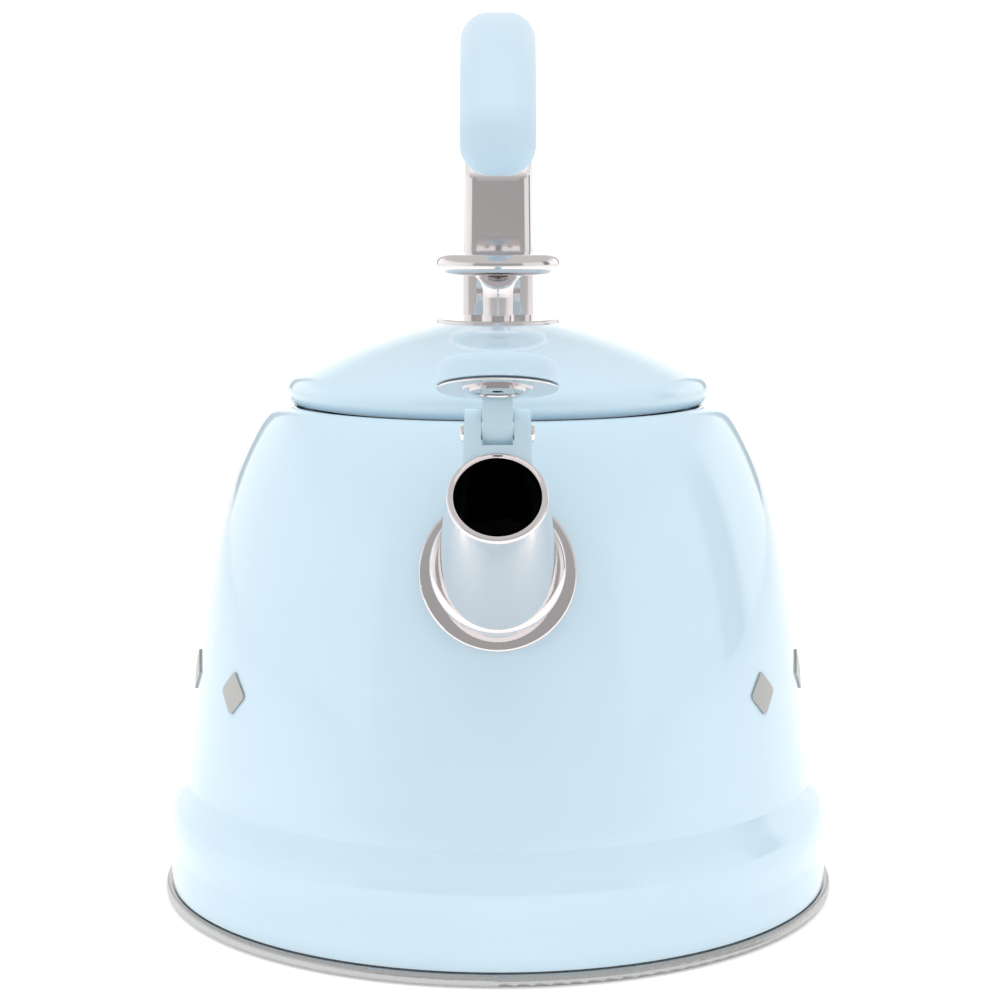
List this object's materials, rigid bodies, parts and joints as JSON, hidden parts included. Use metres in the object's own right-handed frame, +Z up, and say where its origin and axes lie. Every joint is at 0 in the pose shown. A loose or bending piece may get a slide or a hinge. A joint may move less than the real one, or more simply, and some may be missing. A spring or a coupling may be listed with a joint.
{
  "type": "stovetop whistling kettle",
  "caption": "Enamelled stovetop kettle with a lift-off domed lid, a tapered spout with a flip-up whistle, and a rear-mounted arched handle with a soft grip.",
  "frame": {"origin": "centre of the base on the plane that the kettle stands on", "axes": "+Z up, -Y to the front along the spout, +Y to the back where the handle is fixed, X from side to side"},
  "size_m": [0.1902, 0.2222, 0.2485],
  "materials": {
    "enamel": "glossy pale blue enamel",
    "polished_steel": "mirror polished steel",
    "base_steel": "satin brushed steel",
    "inner_steel": "plain steel",
    "spreader_aluminium": "raw aluminium",
    "stud_metal": "satin steel",
    "satin_paint": "satin blue paint",
    "soft_touch": "soft-touch pale blue",
    "silicone": "matte grey silicone"
  },
  "bodies": {
    "kettle": {"body_shell": "enamel", "mouth_ring": "inner_steel", "base_rim": "base_steel", "pan_floor": "inner_steel", "heat_spreader": "spreader_aluminium", "induction_plate": "base_steel", "side_studs_right": "stud_metal", "side_studs_left": "stud_metal", "spout_tube": "polished_steel", "spout_flange": "polished_steel", "whistle_bracket": "satin_paint", "whistle_pivot_pin": "polished_steel", "handle_stem": "polished_steel", "handle_grip": "soft_touch", "grip_screws": "inner_steel", "handle_foot": "polished_steel", "foot_gasket": "silicone", "handle_anchor": "inner_steel", "handle_screws": "inner_steel"},
    "lid": {"lid_shell": "enamel", "lid_skirt": "inner_steel", "knob_plate": "polished_steel", "knob_ferrule": "polished_steel", "lid_knob": "polished_steel", "knob_screw": "inner_steel", "knob_washer": "inner_steel"},
    "whistle": {"whistle_lever": "satin_paint", "whistle_disc": "polished_steel", "whistle_reed_plate": "inner_steel", "whistle_cap": "soft_touch"}
  },
  "joints": [
    {"name": "whistle_hinge", "type": "hinge", "parent": "kettle", "child": "whistle", "pos_m": [0, -0.09509, 0.13943], "axis": [1, 0, 0], "range_deg": [0, 68.8]},
    {"name": "lid_lift", "type": "slide", "parent": "kettle", "child": "lid", "axis": [0, 0, 1], "range_m": [0, 0.028]}
  ]
}
